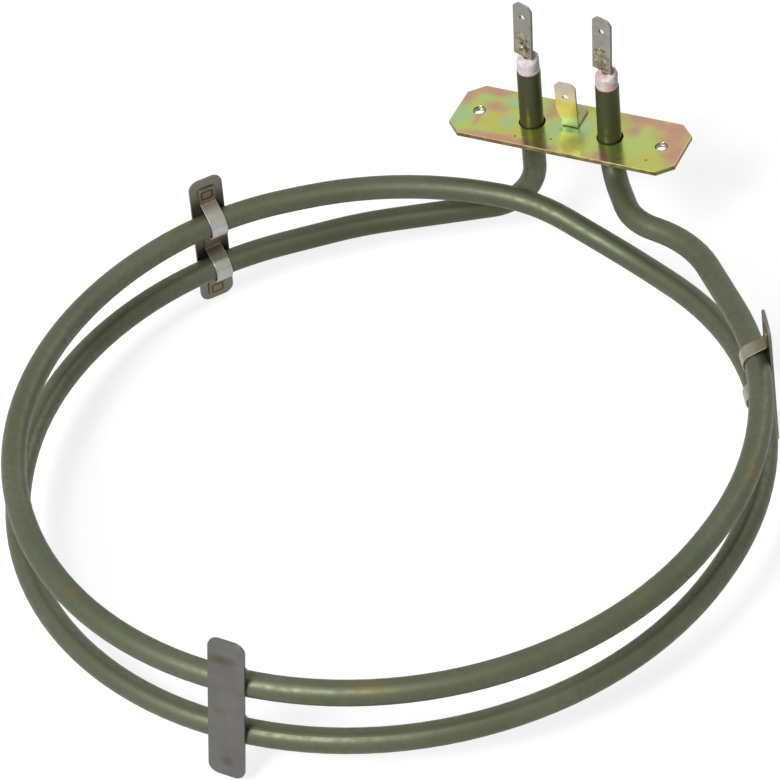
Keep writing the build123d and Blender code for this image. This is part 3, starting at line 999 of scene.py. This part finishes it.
    def _on_blade(self, x: Array, y: Array, z: Array) -> Array:
        """Turn places on the blade into the part's frame: shift, yaw about the leg, then lean."""
        yaw = math.radians(self.yaw_deg)
        x = x + self.blade_shift
        return self.on_leg(x * math.cos(yaw) - y * math.sin(yaw),
                           x * math.sin(yaw) + y * math.cos(yaw), z + self.blade_bottom)


@dataclass(frozen=True)
class ClipPlace:
    """Where a clip's plate meets the coil: its inner face's middle and its axes.

    The pitch is from turn to turn. The strap slides up from its middle height, and is shifted
    and leans along the plate.
    """

    name: str
    origin: Triple
    sideways: Triple
    upwards: Triple
    outwards: Triple
    pitch: float
    slide: float
    lean_deg: float
    strap_shift: float = 0.0
    shine: float = 1.0


@dataclass
class CoilClips:
    """The three clips, each a flat plate outside the coil and a strap humped over both turns."""

    nodes: dict[str, Piece]
    sheath_r: float = 3.4
    play: float = 0.05
    strap_play: float = 0.1
    strap_t: float = 0.5
    strap_w: float = 4.9
    reach_up: float = 20.7
    reach_down: float = 22.5
    root_blend: float = 0.45
    hump_slack: float = 0.28
    hump_sag: float = 0.24
    under_shade: float = 0.75
    foot_flare: float = 0.11
    foot_corner: float = 0.9
    pad_half: tuple[float, float] = (1.65, 1.35)
    pad_from_end: float = 2.75
    flank_deg: tuple[float, float, float, float] = (24.0, 17.0, 19.0, 15.0)

    def build(self, places: tuple[ClipPlace, ...]) -> None:
        """Dress the plates, and press the straps that stand for the plain ones.

        Args:
            places: Where the clips are.
        """
        brown, faint = (0.085, 0.066, 0.030), (0.125, 0.112, 0.075)
        marks = (Stain((-5.6, -219.7, -1.0), (4.6, 3.0, 1.9), brown, 0.75, 0.5, 0.4),
                 Stain((-7.6, -221.2, -18.6), (2.6, 3.0, 1.6), faint, 0.55, 0.5, 0.4),
                 Stain((-7.4, -222.5, -36.2), (2.2, 3.0, 2.0), brown, 0.65, 0.5, 0.4))
        plate = ClipFinish("clip_sheet", marks).material()
        strap = StrapFinish("tempered_strap").material()
        for place in places:
            dress(self.nodes, f"clip_plate_{place.name}", plate)
            piece = self.strap(place)
            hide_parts(f"clip_strap_{place.name}")
            finish_piece(piece, strap)

    def strap(self, place: ClipPlace) -> Piece:
        """Make a clip's strap.

        A section goes along the line of the strip's middle: inwards is the line's distance from
        the plate's face, and the strip's own thickness stands half on each side of it. The
        welds' pressed outlines sink into the side away from the plate. Both feet widen a little
        and have rounded corners.

        Args:
            place: Where the clip is.

        Returns:
            The strap, with its brightness, painted shade included, and its groove as point
            attributes.
        """
        sink, swell, flare_end, flare_run = 0.16, 0.06, 2.4, 4.0
        height, inwards, polish_and_shade = self.line(place)
        slope_h, slope_d = np.gradient(height), np.gradient(inwards)
        size = np.hypot(slope_h, slope_d)
        normal_h, normal_d = -slope_d / size, slope_h / size
        length = lengths_along(height, inwards)
        to_end = np.minimum(length, length[-1] - length)
        across, through = self.section()
        corner = np.clip(self.foot_corner - to_end, 0, None)
        pulled = self.foot_corner - np.sqrt(np.clip(self.foot_corner**2 - corner**2, 0, None))
        flare = self.foot_flare * (1.0 - rising(to_end, flare_end, flare_run))
        width = (1.0 + flare) * (1.0 - pulled / (self.strap_w / 2))
        side = across * width[:, None]
        sunk, raised = self.pressed(side, to_end[:, None])
        face = np.where(through > 0, 1.0, 0.0)
        off = through - face * (sink * sunk - swell * raised)
        grid = self.placed(place, side, height[:, None] - normal_h[:, None] * off,
                           inwards[:, None] - normal_d[:, None] * off)
        piece = placed_mesh(f"pressed_strap_{place.name}", grid, capped_quads(grid),
                            crease_deg=40.0)
        shine = np.broadcast_to(polish_and_shade[:, None], side.shape)
        for label, values in (("polish_and_shade", shine), ("groove", face * sunk)):
            layer = piece.data.attributes.new(label, "FLOAT", "POINT")
            layer.data.foreach_set("value", values.astype(np.float32).ravel())
        return piece

    def line(self, place: ClipPlace) -> tuple[Array, Array, Array]:
        """Work out the middle line of a strap.

        Over each turn the distance from the plate is a circle about the tube as far as each
        flank's angle, and a straight flank beyond, no lower than the foot; a smooth maximum
        rounds the roots, and fades out up the flanks. The line is sampled evenly along its
        length.

        Args:
            place: Where the clip is.

        Returns:
            Heights, distances in from the plate's face, and how far out on a hump each is, 0 to 1,
            times the clip's shine and less painted shade under each hump.
        """
        tries, samples, foot_gap, blend_h, under_reach = 6000, 260, 0.01, 4.0, 1.4
        foot = self.strap_t / 2 + foot_gap
        middle = self.sheath_r + self.play - 0.6 * self.hump_slack
        hump = self.sheath_r + self.strap_play + self.strap_t / 2 + self.hump_slack
        h = np.linspace(self.reach_up + place.slide, place.slide - self.reach_down, tries)
        shape, under = np.full_like(h, -np.inf), np.zeros_like(h)
        for centre, (above, below) in ((place.pitch / 2, self.flank_deg[:2]),
                                       (-place.pitch / 2, self.flank_deg[2:])):
            sagged = centre - self.hump_sag
            from_tube = np.abs(h - sagged)
            angle = np.radians(np.where(h > sagged, above, below))
            arc = middle + np.sqrt(np.clip(hump**2 - from_tube**2, 0, None))
            flank = middle + (hump - from_tube * np.cos(angle)) / np.sin(angle)
            shape = np.maximum(shape, np.where(from_tube <= hump * np.cos(angle), arc, flank))
            # Painted shade on the lower side of each hump.
            shaded = rising(-h, -centre, hump) ** 2 * (from_tube < under_reach * hump)
            under = np.maximum(under, shaded)
        apart = np.abs(foot - shape)
        rounding = np.sqrt(apart**2 + self.root_blend**2) - apart
        d = np.maximum(foot, shape) + 0.5 * rounding * (1.0 - rising(shape, foot, blend_h))
        far = lengths_along(h, d)
        even = np.linspace(0, far[-1], samples)
        h, d, under = (np.interp(even, far, values) for values in (h, d, under))
        out = rising(d, foot, middle + hump - foot)
        return h, d, place.shine * out * (1.0 - self.under_shade * under)

    def section(self) -> Array:
        """Go round the strip's section, across and through it, the far side first.

        It is a rectangle with rounded edges; its second half is the first turned half round.
        """
        half_w, half_t, edge = self.strap_w / 2, self.strap_t / 2, 0.16
        flat = np.linspace(edge - half_w, half_w - edge, 33)
        turn = np.linspace(math.pi / 2, 0, 5)[1:]
        across = half_w - edge + edge * np.cos(turn)
        through = half_t - edge + edge * np.sin(turn)
        there = np.array([np.concatenate([flat, across, across[::-1]]),
                          np.concatenate([np.full(33, half_t), through, -through[::-1]])])
        return np.concatenate([there, -there], 1)

    def pressed(self, side: Array, to_end: Array) -> tuple[Array, Array]:
        """Relief of a spot weld: a groove along a rounded rectangle, and a raised pad inside it."""
        corner, groove_w, pad_in, pad_soft = 0.4, 0.24, 0.45, 0.12
        half_w, half_l = self.pad_half
        along = np.abs(to_end - self.pad_from_end)
        out = np.hypot(np.clip(np.abs(side) - half_w + corner, 0, None),
                       np.clip(along - half_l + corner, 0, None)) - corner
        return np.exp(-(out / groove_w) ** 2), 1.0 / (1.0 + np.exp((out + pad_in) / pad_soft))

    def placed(self, place: ClipPlace, side: Array, h: Array,
               d: Array) -> Array:
        """Turn places on a strap into the part's frame, the strip leaning across its plate."""
        lean = math.radians(place.lean_deg)
        sideways = (place.strap_shift + h * math.tan(lean) + side / math.cos(lean))[..., None]
        return (np.array(place.origin) + sideways * np.array(place.sideways)
                + h[..., None] * np.array(place.upwards) - d[..., None] * np.array(place.outwards))


def lengths_along(h: Array, d: Array) -> Array:
    """Length from a line's start to each of its points."""
    return np.concatenate([[0], np.cumsum(np.hypot(np.diff(h), np.diff(d)))])


CLIP_PLACES = (
    ClipPlace("rear", (-90.80737, -53.21924, -20.0088), (-0.6238, -0.78158, 0.00226),
              (0.07937, -0.06046, 0.99501), (-0.77754, 0.62087, 0.09975),
              pitch=17.3923, slide=-0.8, lean_deg=0.0),
    ClipPlace("front", (-6.17785, -220.49334, -19.72258), (0.99982, 0.01895, -0.00012),
              (-0.00139, 0.07955, 0.99683), (0.0189, -0.99665, 0.07956),
              pitch=16.8475, slide=1.8, lean_deg=5.4),
    ClipPlace("side", (80.69193, -58.91152, -19.18986), (-0.5223, 0.85276, 0.00103),
              (-0.03269, -0.02123, 0.99924), (0.85214, 0.52187, 0.03896),
              pitch=15.4603, slide=-2.0, lean_deg=-6.0, strap_shift=-1.3, shine=0.62),
)


# --------------------------------------------------------------------------- studio

@dataclass
class Studio:
    """Pale floor, white surround, soft lamps and the camera, in metres."""

    floor_z: float
    floor_half: float = 4.0
    floor_matt: Triple = (0.38, 0.38, 0.38)
    floor_glow: float = 0.80
    surround_light: float = 0.13
    white: Triple = (1.0, 1.0, 1.0)
    lit_place: Triple = (-0.008, -0.10, -0.02)
    camera_place: Triple = (0.405438, -0.855996, 0.773196)
    azimuth_deg: float = 29.0
    elevation_deg: float = 42.42
    roll_deg: float = -7.65
    lens_mm: float = 198.46

    def build(self) -> None:
        """Set up the whole studio."""
        self.floor()
        self.surround()
        self.lamp("key_softbox", (-0.28, -1.45, 1.45), power=37.0, size=0.7)
        self.lamp("back_softbox", (0.50, 1.20, 0.90), power=3.3, size=0.8)
        self.camera()
        bpy.context.scene.view_settings.view_transform = "Standard"

    def floor(self) -> None:
        """Lay a wide floor whose white keeps the part's soft shadow."""
        mesh = bpy.data.meshes.new("studio_floor")
        corners = [(x * self.floor_half, y * self.floor_half, self.floor_z)
                   for x, y in ((-1, -1), (1, -1), (1, 1), (-1, 1))]
        mesh.from_pydata(corners, [], [(0, 1, 2, 3)])
        floor = bpy.data.objects.new("studio_floor", mesh)
        bpy.context.scene.collection.objects.link(floor)
        material = blank_material("studio_white")
        bench = NodeBench(material.node_tree)
        glow = bench.times(self.seen_directly(bench), self.floor_glow)
        matt = bench.add("ShaderNodeBsdfDiffuse", {"Color": rgba(self.floor_matt)})
        white = bench.add("ShaderNodeEmission", {"Color": rgba(self.white), "Strength": glow})
        both = bench.add("ShaderNodeAddShader", {0: matt.outputs[0], 1: white.outputs[0]})
        bench.add("ShaderNodeOutputMaterial", {"Surface": both.outputs[0]})
        mesh.materials.append(material)
        floor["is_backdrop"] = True

    @staticmethod
    def seen_directly(bench: NodeBench) -> Socket:
        """1 for camera, glossy and transmitted rays, and 0 for the rest."""
        path = bench.add("ShaderNodeLightPath").outputs
        direct = bench.sum_up("MAXIMUM", path["Is Camera Ray"], path["Is Glossy Ray"])
        return bench.sum_up("MAXIMUM", direct, path["Is Transmission Ray"])

    def surround(self) -> None:
        """White where it is seen, softer where it only lights the part."""
        world = bpy.data.worlds.new("white_surround")
        bpy.context.scene.world = world
        world.use_nodes = True
        world.node_tree.nodes.clear()
        bench = NodeBench(world.node_tree)
        strength = bench.level(self.seen_directly(bench), self.surround_light, 1.0)
        light = bench.add("ShaderNodeBackground", {"Color": rgba(self.white),
                                                   "Strength": strength})
        bench.add("ShaderNodeOutputWorld", {"Surface": light.outputs[0]})

    def lamp(self, name: str, place: Triple, power: float, size: float) -> None:
        """Hang a square soft lamp that faces the coil's middle.

        Args:
            name: The lamp's name.
            place: Where it hangs.
            power: Its power in watts.
            size: Length of its side.
        """
        light = bpy.data.lights.new(name, "AREA")
        light.energy, light.size = power, size
        lamp = bpy.data.objects.new(name, light)
        lamp.location = place
        towards = Vector(self.lit_place) - Vector(place)
        lamp.rotation_euler = towards.to_track_quat("-Z", "Y").to_euler()
        bpy.context.scene.collection.objects.link(lamp)

    def camera(self) -> None:
        """Stand the camera in front, above and a little to the right, turned by its roll."""
        data = bpy.data.cameras.new("camera")
        data.lens, data.sensor_width = self.lens_mm, 36.0
        data.clip_start, data.clip_end = 0.05, 20.0
        camera = bpy.data.objects.new("camera", data)
        stand = Matrix.Translation(self.camera_place)
        for degrees, axis in ((self.azimuth_deg, "Z"), (90.0 - self.elevation_deg, "X"),
                              (self.roll_deg, "Z")):
            stand = stand @ Matrix.Rotation(math.radians(degrees), 4, axis)
        camera.matrix_world = stand
        bpy.context.scene.collection.objects.link(camera)
        bpy.context.scene.camera = camera


def main() -> None:
    """Build and dress every sub-assembly, in order."""
    logging.basicConfig(level=logging.INFO, format="%(name)s: %(message)s")
    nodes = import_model()["nodes"]
    solid_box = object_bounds()
    HeatedTube(nodes).build()
    MountingPlate(nodes).build()
    nickel = NickelFinish("nickel_blade").material()
    scale = ScaleFinish("burnt_scale").material()
    varnish = MottledFinish("sealing_varnish", light=(0.165, 0.050, 0.030),
                            dark=(0.060, 0.025, 0.018), roughness=(0.25, 0.45), scale=0.6,
                            spread=0.15).material()
    for terminal in (Terminal(nodes, "left", leg_x=-11.5, yaw_deg=-16.0, blade_bottom=24.4,
                              smear_share=0.18, seed=4),
                     Terminal(nodes, "right", leg_x=12.3, yaw_deg=-15.5, blade_bottom=24.7,
                              smear_share=0.85, seed=21)):
        terminal.build(nickel, scale, varnish)
    CoilClips(nodes).build(CLIP_PLACES)
    Studio(solid_box[0].z).build()


if __name__ == "__main__":
    main()
